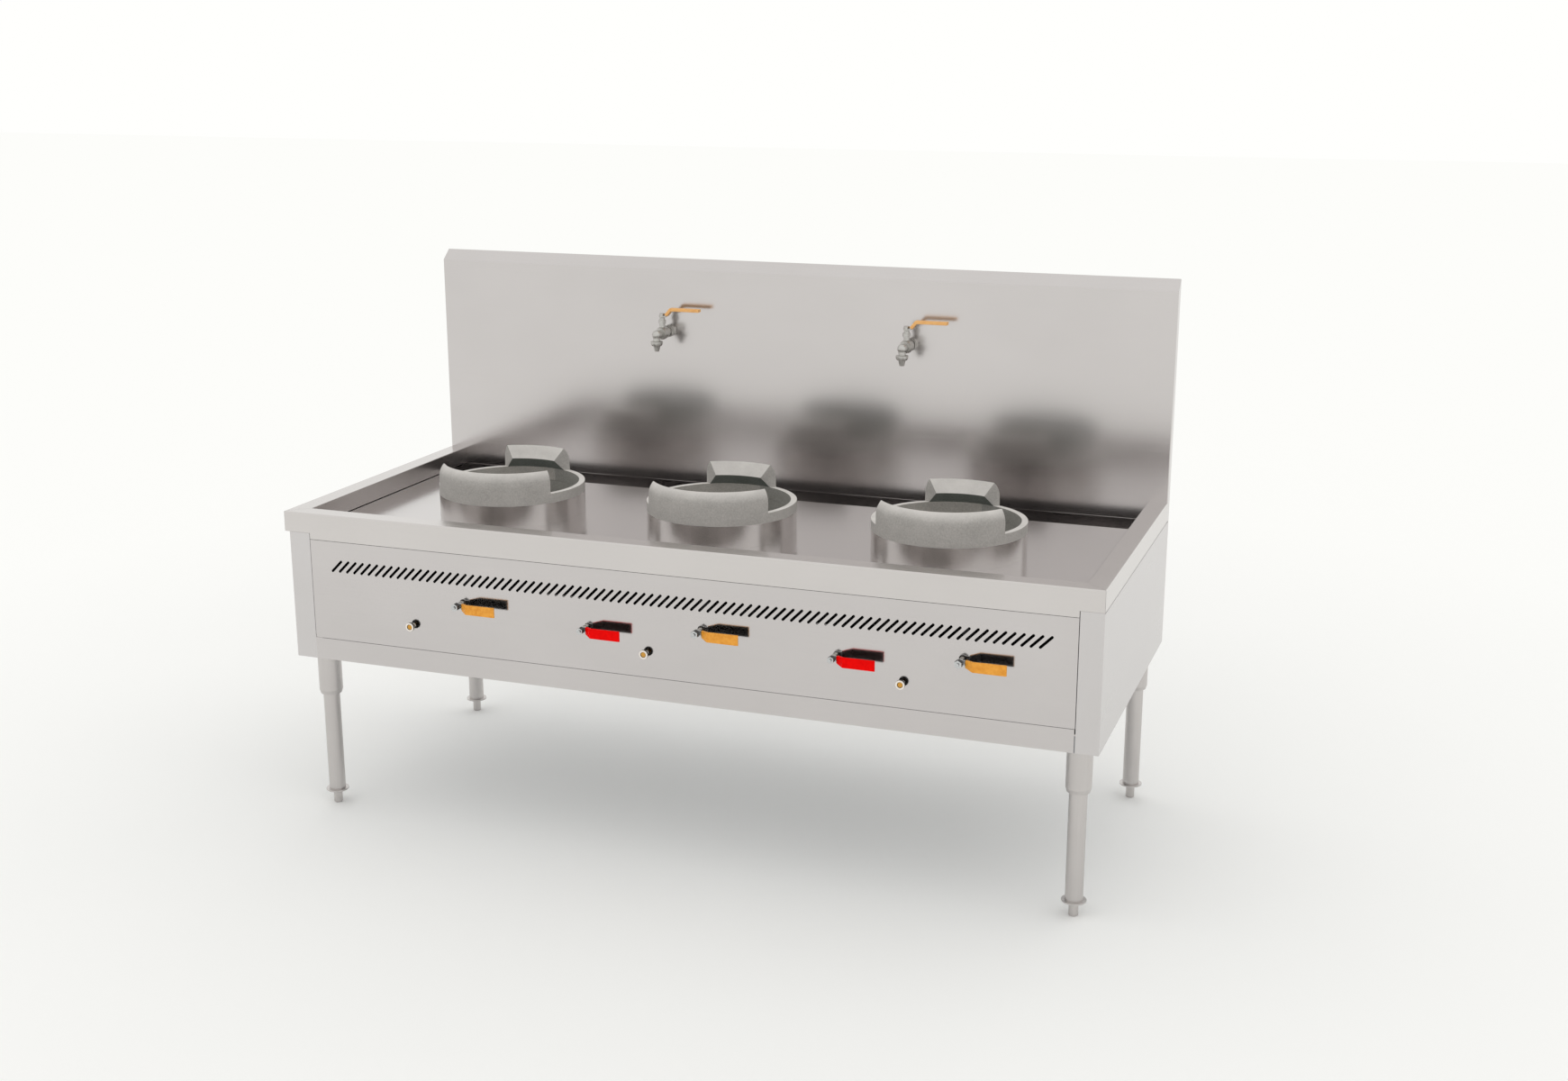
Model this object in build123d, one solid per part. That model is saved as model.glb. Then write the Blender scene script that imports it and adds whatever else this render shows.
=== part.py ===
from build123d import *
from math import asin, copysign, cos, sin, sqrt
import os

# A three-burner gas wok range: a steel body on four legs, a recessed deck with a rear trough,
# three burner chambers under lift-off cast rings, lever valves on the front and two water taps
# on a tall splashback.
# Frame: origin on the floor under the middle of the body, +X to the right seen from the front,
# +Y towards the splashback, +Z up. All sizes are in millimetres.

# ---- driving dimensions ---------------------------------------------------------------------
rim_length = 2100.0         # the worktop rim, left to right
body_depth = 884.0          # front face to rear face
rim_top = 803.0             # floor to the top of the rim
rim_width = 50.0            # flat top of the rim
skirt_height = 52.0         # outer skirt of the rim
deck_top = 755.0            # the sunk deck
body_bottom = 418.5
sheet = 1.5                 # steel sheet
left_overhang = 13.0        # the rim stands over the left side panel, and is flush at the right

splash_depth = 32.0
splash_top_front = 1351.0
splash_top_rear = 1378.0

trough_start = 735.0        # front of the rear trough, from the front face
trough_bottom = 690.0

panel_left = -977.0         # removable front panel
panel_right = 994.0
panel_bottom = 475.5
panel_top = 734.5
panel_corner = 12.0         # its lower left corner is rounded
seam = 1.0                  # gap round the front panel
side_seam = 1.8             # gap between the right side panel and the rim's skirt
deck_seam = 1.6             # gap between the deck and the side rims' inner walls
rail_slit = 2.6             # open slit between the bottom rail and the right stile
slot_count = 88
slot_pitch = 20.97
slot_length = 43.5
slot_width = 6.6
slot_middle = (10.2, 670.75)   # middle of the row of slots

burner_x = (-598.0, -2.0, 594.0)
burner_back = 380.0         # burner centre, from the front face
ring_radius = 190.5
ring_inner = 175.5
ring_bottom = 810.5
ring_top = 835.0
guard_straight = 860.0      # the guard rises straight to here, then leans in
guard_top = 894.0
guard_arc = 50.0            # radius of the lean
guard_wall = 8.0
guard_half_angle = 55.6
ring_turn = 3.0             # the castings sit turned by this many degrees

gas_valve_x = (-551.0, 89.5, 730.0)
gas_valve_z = 606.0
water_valve_x = (-210.0, 428.5)
water_valve_z = 582.0
pilot_offset = -138.0       # pilot knob, from the gas valve beside it
pilot_z = 537.0

tap_x = (-346.0, 354.0)
tap_z = 1180.0

leg_x = (-979.0, 998.0)
leg_back = (54.0, 807.0)    # leg centres, from the front face
leg_radius = 21.2
sleeve_radius = 30.15
sleeve_bottom = 308.0
leg_plate = 4.0             # plate that carries the sleeve on the frame
foot_radius = 29.5
foot_stud = 11.3
foot_thread = 9.0           # the threaded stud inside the leg
foot_top = 40.0
leg_wall = 3.0
plate_reach = 50.0          # the sleeve's plate reaches this far in from its axis

lever_plane = 36.0          # a front lever's middle plane, out from the panel
lever_flat = 16.0           # plane of the strap under its nut
strap = 3.0                 # thickness of a lever's strap
grip_half = 2.5             # half of the grip's thickness
inlet_reach = lever_plane + grip_half   # pipe ends stand out behind as far as the levers in front

# ---- levels and faces worked out from them --------------------------------------------------
front = -body_depth / 2
rear = body_depth / 2
half = rim_length / 2
left_side = -half + left_overhang
skirt_bottom = rim_top - skirt_height
splash_front = rear - splash_depth
trough_front = front + trough_start
burner_y = front + burner_back
stile_left = panel_left - seam
stile_right = panel_right + seam + 0.6
valve_y = front + 45.0      # centre plane of the valves and of the pipes that run behind the front
well_half = half - rim_width
inside_left = left_side + sheet
inside_right = half - sheet
frame_tube = 20.0           # width of the base frame's tubes
frame_top = body_bottom + 40

parts = {}


def save(name, *solids):
    """Write the solids of one node as a STEP file."""
    parts[name] = solids
    shape = solids[0] if len(solids) == 1 else Compound(children=list(solids))
    shape.label = name
    export_step(shape, f"parts/{name}.step")


def block(x0, x1, y0, y1, z0, z1):
    """A box from its lowest to its highest corner."""
    middle = ((x0 + x1) / 2, (y0 + y1) / 2, (z0 + z1) / 2)
    return Pos(*middle) * Box(x1 - x0, y1 - y0, z1 - z0)


def rod(start, end, radius):
    """A round bar between two points."""
    plane = Plane(origin=start, z_dir=Vector(*end) - Vector(*start))
    return extrude(plane * Circle(radius), amount=(Vector(*end) - Vector(*start)).length)


def hexagon(start, end, across_flats):
    """A hexagonal bar between two points."""
    plane = Plane(origin=start, z_dir=Vector(*end) - Vector(*start))
    shape = RegularPolygon(across_flats / 2, 6, major_radius=False)
    return extrude(plane * shape, amount=(Vector(*end) - Vector(*start)).length)


def turned(points, x=0.0, y=0.0):
    """A solid of revolution about a vertical axis through (x, y), from (radius, height) points."""
    outline = Plane.XZ * make_face(Polyline(*points, close=True))
    return Pos(x, y, 0) * revolve(outline, Axis.Z)


def prism(points, z0, z1, taper=0.0):
    """An upright prism on a plan outline."""
    return Pos(0, 0, z0) * extrude(make_face(Polyline(*points, close=True)), amount=z1 - z0, taper=taper)


def pipe(points, radius, wall, bend):
    """A bent pipe through the points, with every corner rounded to the same bend."""
    route = FilletPolyline(*points, radius=bend)
    start = Plane(origin=points[0], z_dir=Vector(*points[1]) - Vector(*points[0]))
    outside = sweep(start * Circle(radius), path=route)
    inside = sweep(start * Circle(radius - wall), path=route)
    return outside - inside


def fold(solid, axis, radius=2.0, **place):
    """Round the outside of a bend: the edges along one axis that lie at the given place."""
    edges = [edge for edge in solid.edges().filter_by(axis)
             if all(abs(getattr(edge.center(), name) - value) < 0.01 for name, value in place.items())]
    return fillet(edges, radius)


def box_tube(x0, x1, y0, y1, z0, z1, along, wall=2.0):
    """A square tube that runs along one axis."""
    grow = {"x": (0, wall, wall), "y": (wall, 0, wall), "z": (wall, wall, 0)}[along]
    hollow = block(x0 + grow[0], x1 - grow[0], y0 + grow[1], y1 - grow[1], z0 + grow[2], z1 - grow[2])
    return block(x0, x1, y0, y1, z0, z1) - hollow


def strip_outline(points, width):
    """The closed outline of a bent strip, from the points of its middle line."""
    steps = [(Vector(*b) - Vector(*a)).normalized() for a, b in zip(points, points[1:])]
    side_a = []
    side_b = []
    for index, point in enumerate(points):
        before = steps[max(index - 1, 0)]
        after = steps[min(index, len(steps) - 1)]
        across = Vector(-(before.Y + after.Y), before.X + after.X).normalized()
        reach = width / 2 / sqrt((1 + before.dot(after)) / 2)
        side_a.append((point[0] + across.X * reach, point[1] + across.Y * reach))
        side_b.append((point[0] - across.X * reach, point[1] - across.Y * reach))
    return side_a + side_b[::-1]


# ---- worktop rim: three channels with mitred corners ------------------------------------------
def make_rim():
    mitre = 0.35                # half of the mitre seam, along the rim
    low = skirt_bottom - 1
    high = rim_top + 1
    inner = front + rim_width
    rail = block(-half, half, front, front + sheet, skirt_bottom, rim_top)
    rail += block(-half, half, front, inner, rim_top - sheet, rim_top)
    rail += block(-half, half, inner - sheet, inner, deck_top, rim_top)
    rail = fold(rail, Axis.X, Y=front, Z=rim_top)
    rail = fold(rail, Axis.X, Y=inner, Z=rim_top)
    plan = [(-half + mitre, front), (half - mitre, front),
            (well_half - mitre, inner), (-well_half + mitre, inner)]
    front_rail = rail & prism(plan, low, high)
    tongue = block(panel_left, panel_right, front, front + sheet, panel_top + seam, skirt_bottom)
    save("rim_front", front_rail + tongue)

    for name, side in (("rim_left", -1), ("rim_right", 1)):
        xs = sorted((side * half, side * (half - sheet)))
        channel = block(*xs, front, splash_front, skirt_bottom, rim_top)
        xs = sorted((side * half, side * well_half))
        channel += block(*xs, front, splash_front, rim_top - sheet, rim_top)
        xs = sorted((side * (well_half + sheet), side * well_half))
        channel += block(*xs, front, splash_front, deck_top + deck_seam, rim_top)
        channel = fold(channel, Axis.Y, X=side * half, Z=rim_top)
        channel = fold(channel, Axis.Y, X=side * well_half, Z=rim_top)
        plan = [(side * half, front + mitre), (side * half, splash_front),
                (side * well_half, splash_front), (side * well_half, inner + mitre)]
        save(name, channel & prism(plan, low, high))


# ---- deck with its three round openings, and the trough behind it -------------------------------
def make_deck():
    edge = well_half + sheet
    lip = 15                    # the deck's rear edge folds down into the trough
    deck = block(-edge, edge, front + rim_width - sheet, trough_front, deck_top - sheet, deck_top)
    deck += block(-well_half, well_half, trough_front - sheet, trough_front, deck_top - lip, deck_top)
    for x in burner_x:
        deck -= rod((x, burner_y, deck_top - 20), (x, burner_y, deck_top + 1), ring_radius + 0.2)
    save("deck_plate", deck)


drain_x = 900.0
drain_y = (trough_front + splash_front) / 2
drain_bore = 22.4
drain_radius = 25.4
drain_flange = 42.0
drain_thread = 23.9         # male thread at the drain's lower end
drain_thread_top = 420.0
drain_bottom = 388.0


def make_trough():
    """Five sheets welded at their edges, and the drain under the floor sheet."""
    edge = well_half + sheet
    floor = trough_bottom - sheet
    bottom = block(-edge, edge, trough_front, splash_front, floor, trough_bottom)
    bottom -= rod((drain_x, drain_y, floor - 1), (drain_x, drain_y, trough_bottom + 1), drain_bore)
    walls = [block(-edge, edge, trough_front, trough_front + sheet, trough_bottom, deck_top),
             block(-edge, edge, splash_front - sheet, splash_front, trough_bottom, deck_top - 0.5)]
    walls += [block(x, x + sheet, trough_front + sheet, splash_front - sheet, trough_bottom, deck_top)
              for x in (-edge, well_half)]
    save("rear_trough", bottom, *walls)

    seat = floor - 3
    outline = [(drain_bore, floor), (drain_flange, floor), (drain_flange, seat), (drain_radius, seat),
               (drain_radius, drain_thread_top), (drain_thread, drain_thread_top),
               (drain_thread, drain_bottom), (drain_bore, drain_bottom)]
    save("drain_outlet", turned(outline, drain_x, drain_y))


# ---- splashback: a folded shell, its rear cover and the posts inside ------------------------------
post_x = (-700.0, 0.0, 700.0)
post_half = 12.5
post_top = 1340.0
tap_hole = 11.0


def make_splashback():
    section = [(splash_front, skirt_bottom), (splash_front, splash_top_front),
               (rear, splash_top_rear), (rear, skirt_bottom)]
    outline = Plane.YZ * make_face(Polyline(*section, close=True))
    solid = Pos(-half, 0, 0) * extrude(outline, amount=rim_length)
    slope = (splash_top_rear - splash_top_front) / splash_depth
    lip = sheet * sqrt(1 + slope * slope)              # the bevel's sheet measured straight down
    hollow_section = [(splash_front + sheet, skirt_bottom - 1), (splash_front + sheet, splash_top_front - lip),
                      (rear + 1, splash_top_rear - lip), (rear + 1, skirt_bottom - 1)]
    hollow = Plane.YZ * make_face(Polyline(*hollow_section, close=True))
    solid = fold(solid, Axis.X, Y=splash_front, Z=splash_top_front)
    for x in (-half, half):
        solid = fold(solid, Axis.Z, X=x, Y=splash_front)
    shell = solid - Pos(-half + sheet, 0, 0) * extrude(hollow, amount=rim_length - 2 * sheet)
    for x in tap_x:
        shell -= rod((x, splash_front - 1, tap_z), (x, splash_front + 5, tap_z), tap_hole)
    save("splashback_front", shell)

    inside = half - sheet
    cover = block(-inside, inside, rear - sheet, rear, skirt_bottom, splash_top_rear - 6)
    save("splashback_cover", cover)

    posts = [box_tube(x - post_half, x + post_half, splash_front + 3, rear - 4, frame_top, post_top, "z")
             for x in post_x]
    save("splash_posts", *posts)


# ---- body sheets --------------------------------------------------------------------------------
gas_inlet = (-850.0, 640.0)     # x and z of the gas pipe where it leaves the rear
water_inlet = (840.0, 500.0)
stile_foot = frame_top + 5      # the stiles' inner folds start above the frame
stile_fold = 18.0               # depth of those folds


def make_body():
    left = block(left_side, left_side + sheet, front, rear, body_bottom, skirt_bottom)
    left += block(left_side, left_side + sheet, front + 3, splash_front - 1, skirt_bottom, rim_top - sheet)
    left += block(left_side, stile_left, front, front + sheet, body_bottom, skirt_bottom - 0.3)
    left += block(stile_left - sheet, stile_left, front, front + stile_fold, stile_foot, skirt_bottom - 4)
    left = fold(left, Axis.Z, X=left_side, Y=front)
    save("side_panel_left", left)

    right = block(half - sheet, half, front, rear, body_bottom, skirt_bottom - side_seam)
    right += block(half - 2 * sheet, half - sheet, front + 3, splash_front - 1, skirt_bottom - 16, rim_top - sheet)
    right += block(stile_right, half, front, front + sheet, body_bottom, skirt_bottom - 0.3)
    right += block(stile_right, stile_right + sheet, front, front + stile_fold, stile_foot, skirt_bottom - 4)
    right = fold(right, Axis.Z, X=half, Y=front)
    save("side_panel_right", right)

    back = block(inside_left, inside_right, rear - sheet, rear, body_bottom, skirt_bottom - 0.5)
    for (x, z), radius in ((gas_inlet, manifold_radius), (water_inlet, water_radius)):
        back -= rod((x, rear - 5, z), (x, rear + 5, z), radius + 0.7)
    save("back_panel", back)

    rail_top = panel_bottom - seam
    rail = block(stile_left, stile_right - rail_slit, front, front + sheet, body_bottom, rail_top)
    catch = front + 2 * sheet + 0.2     # a small catch behind the panel's rounded corner
    catch_foot = frame_top + leg_plate + 0.3
    catch_right = stile_left + 1.5 * panel_corner
    rail += block(stile_left, catch_right, front + sheet, catch, catch_foot, rail_top)
    rail += block(stile_left, catch_right, catch - sheet, catch, catch_foot, rail_top + 1.5 * panel_corner)
    save("bottom_rail", rail)

    gap = frame_tube + 0.3      # the floor sheet lies between the tubes of the base frame
    floor = block(inside_left + gap, inside_right - gap, front + sheet + gap, rear - sheet - gap,
                  frame_top - sheet, frame_top)
    corner = sleeve_radius + 1.5
    for x in leg_x:
        for back in leg_back:
            y = front + back
            xs = sorted((x - copysign(corner, x), x + copysign(2 * corner, x)))
            ys = sorted((y - copysign(corner, y), y + copysign(2 * corner, y)))
            floor -= block(*xs, *ys, body_bottom, frame_top + 1)
    floor -= rod((drain_x, drain_y, body_bottom), (drain_x, drain_y, frame_top + 1), drain_radius + 1.6)
    save("bottom_panel", floor)


def make_front_panel():
    width = panel_right - panel_left
    height = panel_top - panel_bottom
    middle = ((panel_left + panel_right) / 2, (panel_bottom + panel_top) / 2)
    face = Pos(*middle) * Rectangle(width, height)
    corner = face.vertices().sort_by(lambda v: v.X + v.Y)[0]
    face = fillet(corner, panel_corner)
    slot = Rot(0, 0, 45) * SlotOverall(slot_length, slot_width)
    first = slot_middle[0] - slot_pitch * (slot_count - 1) / 2
    face -= [Pos(first + slot_pitch * i, slot_middle[1]) * slot for i in range(slot_count)]
    for x in gas_valve_x:
        face -= Pos(x, gas_valve_z) * Circle(bonnet_radius + 0.5)
        face -= Pos(x + pilot_offset, pilot_z) * Circle(pilot_bush + 0.3)
    for x in water_valve_x:
        face -= Pos(x, water_valve_z) * Circle(bonnet_radius + 0.5)
    panel = extrude(Plane(origin=(0, front + sheet, 0), x_dir=(1, 0, 0), z_dir=(0, -1, 0)) * face, amount=sheet)
    back = front + 15           # depth of the panel's four folds
    clear = 20                  # the folds stay clear of the rounded corner
    panel += block(panel_left, panel_right, front, back, panel_top - sheet, panel_top)
    panel += block(panel_left + clear, panel_right, front, back, panel_bottom, panel_bottom + sheet)
    panel += block(panel_left, panel_left + sheet, front, back, panel_bottom + clear, panel_top)
    panel += block(panel_right - sheet, panel_right, front, back, panel_bottom, panel_top)
    save("front_panel", panel)


# ---- frame of square tube inside the body ---------------------------------------------------------
bearer_width = 30.0


def make_frame():
    y0 = front + sheet
    y1 = rear - sheet
    base = [box_tube(inside_left, inside_right, y, y + frame_tube, body_bottom, frame_top, "x")
            for y in (y0, y1 - frame_tube)]
    base += [box_tube(x, x + frame_tube, y0 + frame_tube, y1 - frame_tube, body_bottom, frame_top, "y")
             for x in (inside_left, inside_right - frame_tube)]
    save("base_frame", *base)

    beam_high = deck_top - sheet
    beam_low = beam_high - 40
    deck_right = inside_right - sheet
    bearers = []
    for y in (front + 60, front + 640):
        bearers.append(box_tube(inside_left, deck_right, y, y + bearer_width, beam_low, beam_high, "x"))
        foot = frame_top + leg_plate if y < 0 else frame_top
        for x in (inside_left, deck_right - frame_tube):
            bearers.append(box_tube(x, x + frame_tube, y, y + bearer_width, foot, beam_low, "z"))
    save("deck_frame", *bearers)


# ---- burner chambers, linings, rings and burners ----------------------------------------------------
chamber_bottom = 600.0
chamber_inner = 187.0
chamber_mouth = 135.0       # opening in the chamber's bottom
chamber_floor = chamber_bottom + 3
bar_length = 320.0          # flat bar across the mouth that carries the burner
bar_width = 40.0
bar_thick = 4.0
nose_radius = 153.0         # the rear seat's nose, over the ring's mouth
nose_height = 862.0
seat_angle = 120.0
seat_cut = ((-4.6, 94.5), (145.4, 205.9), (-154.6, 205.9))     # plan of the cut that chamfers the seat's ends
seat_taper = 1.2
mixing_radius = 24.0
mixing_bore = 19.0
mixing_bottom = 575.0
head_radius = 62.0
head_wall = 6.0
head_top = 674.0
jet_circles = ((0, 1), (26, 6), (50, 12))      # radius and number of jets in each circle
jet_bore = 1.2


def ring_outline():
    """Half section of the plain ring, with the lip that drops inside the chamber."""
    lip = chamber_inner - 1.5
    return [(ring_inner, ring_bottom - 8.5), (lip, ring_bottom - 8.5), (lip, ring_bottom),
            (ring_radius, ring_bottom), (ring_radius, ring_top), (ring_inner, ring_top)]


lean_angle = asin((guard_top - guard_straight) / guard_arc)


def lean(radius, share):
    """Point part of the way up the lean, on the arc of this radius."""
    centre = ring_radius - guard_arc
    angle = lean_angle * share
    return (centre + radius * cos(angle), guard_straight + radius * sin(angle))


def outer_lean():
    return ThreePointArc(lean(guard_arc, 0), lean(guard_arc, 0.5), lean(guard_arc, 1))


def guard_section():
    """Section of the front guard: a wall that rises straight, then leans in."""
    inner = guard_arc - guard_wall
    inner_lean = ThreePointArc(lean(inner, 1), lean(inner, 0.5), lean(inner, 0))
    foot = Polyline(lean(inner, 0), (ring_radius - guard_wall, ring_top), (ring_radius, ring_top),
                    lean(guard_arc, 0))
    ridge = Line(lean(guard_arc, 1), lean(inner, 1))
    return Plane.XZ * make_face([outer_lean(), ridge, inner_lean, *foot.edges()])


def seat_section():
    """Section of the rear seat: the guard's outside, and a top face that slopes to an undercut nose."""
    rest = Polyline(lean(guard_arc, 1), (nose_radius, nose_height), (ring_inner, ring_top),
                    (ring_radius, ring_top), lean(guard_arc, 0))
    return Plane.XZ * make_face([outer_lean(), *rest.edges()])


def wok_ring():
    ring = turned(ring_outline())
    guard = revolve(guard_section(), Axis.Z, 2 * guard_half_angle)
    guard = Rot(0, 0, -90 - guard_half_angle) * guard
    seat = revolve(seat_section(), Axis.Z, seat_angle)
    seat = Rot(0, 0, 90 - seat_angle / 2) * seat
    seat &= prism(seat_cut, ring_top, guard_top + 1, taper=seat_taper)
    return Rot(0, 0, ring_turn) * (ring + guard + seat)


def make_burners():
    ring = wok_ring()
    linings = []
    heads = []
    jets = []
    for number, x in enumerate(burner_x, 1):
        shell = [(chamber_mouth, chamber_bottom), (ring_radius, chamber_bottom), (ring_radius, ring_bottom),
                 (chamber_inner, ring_bottom), (chamber_inner, chamber_floor), (chamber_mouth, chamber_floor)]
        chamber = turned(shell, x, burner_y)
        low = chamber_bottom - bar_thick
        bar = block(x - bar_length / 2, x + bar_length / 2, burner_y - bar_width / 2, burner_y + bar_width / 2,
                    low, chamber_bottom)
        bar -= rod((x, burner_y, low - 1), (x, burner_y, chamber_bottom + 1), mixing_radius + 0.2)
        save(f"burner_chamber_{number}", chamber + bar)
        save(f"wok_ring_{number}", Pos(x, burner_y, 0) * ring)

        top = ring_bottom - 9
        outside = chamber_inner - 0.5
        lining = [(150, chamber_floor), (outside, chamber_floor), (outside, top), (ring_inner, top)]
        linings.append(turned(lining, x, burner_y))

        cavity = head_radius - head_wall
        head = [(mixing_bore, mixing_bottom), (mixing_radius, mixing_bottom), (mixing_radius, 640),
                (head_radius, 652), (head_radius, head_top), (0, head_top), (0, head_top - head_wall),
                (cavity, head_top - head_wall), (cavity, 657), (mixing_bore, 645)]
        casting = turned(head, x, burner_y)
        for radius, count in jet_circles:
            for spot in PolarLocations(radius, count):
                place = Pos(x, burner_y, 0) * spot
                casting -= place * rod((0, 0, head_top - head_wall - 1), (0, 0, head_top + 1), 2.5)
                jet = [(jet_bore, 0), (5, 0), (5, 9), (3, 14), (jet_bore, 14)]
                jets.append(place * Pos(0, 0, head_top) * turned(jet))
        heads.append(casting)
    save("chamber_linings", *linings)
    save("burner_heads", *heads)
    save("burner_jets", *jets)


# ---- gas: supply pipe, valves, burner pipes, pilots -------------------------------------------------
manifold_z = 690.0
manifold_radius = 16.85
inlet_thread = 16.6
valve_half = 35.0           # half height of a valve body
bonnet_radius = 6.5
bonnet_front = front - lever_flat + 2.5   # the bonnet ends 1 mm behind the lever's hub
stem_radius = 4.0
burner_pipe_radius = 13.45
burner_pipe_z = 530.0
nozzle_base = 562.0         # the nozzle on each burner pipe, under the mixing tube
nozzle_tip = 571.0
pilot_bush = 6.0


def make_gas_supply():
    x, z = gas_inlet
    end_x = gas_valve_x[2] + 60
    thread_start = rear + 8
    thread_end = rear + inlet_reach
    route = [(end_x, valve_y, manifold_z), (x, valve_y, manifold_z), (x, valve_y + 80, z), (x, rear, z)]
    manifold = pipe(route, manifold_radius, 3.0, 32)
    manifold += rod((end_x, valve_y, manifold_z), (end_x + 6, valve_y, manifold_z), manifold_radius + 2)
    for valve_x in gas_valve_x:
        top = gas_valve_z + valve_half
        manifold += rod((valve_x, valve_y, top), (valve_x, valve_y, manifold_z - 15), burner_pipe_radius)
        manifold -= rod((valve_x, valve_y, top - 1), (valve_x, valve_y, manifold_z), burner_pipe_radius - 3)
    thread = hexagon((x, rear, z), (x, thread_start, z), 46)
    thread += rod((x, thread_start, z), (x, thread_end, z), inlet_thread)
    thread -= rod((x, rear - 1, z), (x, thread_end + 1, z), manifold_radius - 3)
    save("gas_manifold", manifold + thread)


def ball_valve(x, z, scale=1.0):
    """Upright ball valve with a bonnet that looks forward through the front panel."""
    tall = valve_half * scale
    wide = 36 * scale
    collar = 13 * scale         # height of the hexagon at each end
    middle = (x, valve_y, z)
    body = rod((x, valve_y, z - tall), (x, valve_y, z + tall), 15 * scale)
    body += Pos(*middle) * Sphere(21 * scale)
    for low in (z - tall, z + tall - collar):
        body += hexagon((x, valve_y, low), (x, valve_y, low + collar), wide)
    body += rod(middle, (x, front + 6, z), 12)
    body += rod(middle, (x, bonnet_front, z), bonnet_radius)
    body -= rod((x, valve_y, z - tall - 1), (x, valve_y, z + tall + 1), 9 * scale)
    body -= rod((x, bonnet_front - 1, z), (x, front + 20, z), stem_radius + 0.05)
    return body


def make_valves():
    valves = [ball_valve(x, gas_valve_z) for x in gas_valve_x]
    valves += [ball_valve(x, water_valve_z, 0.8) for x in water_valve_x]
    save("ball_valves", *valves)

    pipes = []
    for valve_x, x in zip(gas_valve_x, burner_x):
        bottom = gas_valve_z - valve_half
        route = [(valve_x, valve_y, bottom), (valve_x, valve_y, burner_pipe_z),
                 (valve_x, burner_y, burner_pipe_z), (x, burner_y, burner_pipe_z), (x, burner_y, nozzle_base)]
        run = pipe(route, burner_pipe_radius, 3.0, 24)
        nozzle = turned([(1.5, nozzle_base), (burner_pipe_radius, nozzle_base), (6, nozzle_tip),
                         (1.5, nozzle_tip)], x, burner_y)
        pipes.append(run + nozzle)
    save("burner_pipes", *pipes)


# ---- levers --------------------------------------------------------------------------------------
strap_half = 7.5            # half height of a front lever's strap
grip_height = 12.5          # half height of its grip at the free end
grip_shoulder = 12.2        # and where the bend ends
grip_neck = 8.7             # and at the end beside the nut
nut_height = 14.0
nut_stand = 3.0             # the stem ends this far beyond its nut
stem_thread = 3.5           # the stem's thinner end that holds the strap and the nut


def lever(place, bend, run, reach, hub, nut):
    """Bent steel strap with the stem and nut that carry it, and the sleeve on its handle."""
    rise = lever_plane - lever_flat
    middle = [(0, -lever_flat), (bend, -lever_flat), (bend + run, -lever_plane), (reach - 2, -lever_plane)]
    outline = strip_outline(middle, strap)
    bar = prism(outline, -strap_half, strap_half) & block(0, reach, -60, 0, -strap_half, strap_half)
    seat = -lever_flat - strap / 2
    bar += rod((0, seat + strap, 0), (0, seat, 0), hub)
    bar -= rod((0, 0, 0), (0, -60, 0), stem_thread + 0.02)
    stem = rod((0, 19.9, 0), (0, seat + strap, 0), stem_radius)
    stem += rod((0, 0, 0), (0, seat - nut_height - nut_stand, 0), stem_thread)
    stem += hexagon((0, seat, 0), (0, seat - nut_height, 0), nut)

    share = 0.13                # the grip starts this far up the bend
    start = (bend + run * share, -lever_flat - rise * share)
    cover = strip_outline([start, (bend + run, -lever_plane), (reach, -lever_plane)], 2 * grip_half)
    sleeve = prism(cover, -grip_height, grip_height)
    sleeve = fillet(sleeve.edges().filter_by(Axis.Z).sort_by(Axis.X)[-2:], 1.2)
    upper = [(start[0] - grip_half, grip_neck), (bend + run, grip_shoulder), (reach, grip_height)]
    side = upper + [(x, -z) for x, z in reversed(upper)]
    sleeve &= extrude(Plane.XZ * make_face(Polyline(*side, close=True)), amount=60, both=True)
    sleeve -= prism(outline, -strap_half - 0.05, strap_half + 0.05)
    return place * bar, place * stem, place * sleeve


def make_levers():
    for number, x in enumerate(gas_valve_x, 1):
        bar, stem, sleeve = lever(Pos(x, front, gas_valve_z), 13.1, 22.7, 113.5, 9.5, 17)
        save(f"gas_lever_{number}", bar, stem)
        save(f"gas_grip_{number}", sleeve)
    for number, x in enumerate(water_valve_x, 1):
        bar, stem, sleeve = lever(Pos(x, front, water_valve_z), 10.1, 22, 108.5, 8.0, 15)
        save(f"water_lever_{number}", bar, stem)
        save(f"water_grip_{number}", sleeve)


# ---- pilots: valve behind the panel, push knob in front, tube and tip at the burner ---------------------
knob_radius = 11.3
knob_core = 7.0
knob_front = 18.0           # the knob's face, out from the panel
knob_thick = 6.0
knob_stem = 3.5
pilot_body = 9.5
pilot_end = front + 52      # where the pilot's tube leaves the valve
pilot_tube = 4.0
pilot_tip_z = 684.0
pilot_tip = burner_y - 80   # the pilot flame, in front of the burner


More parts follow.
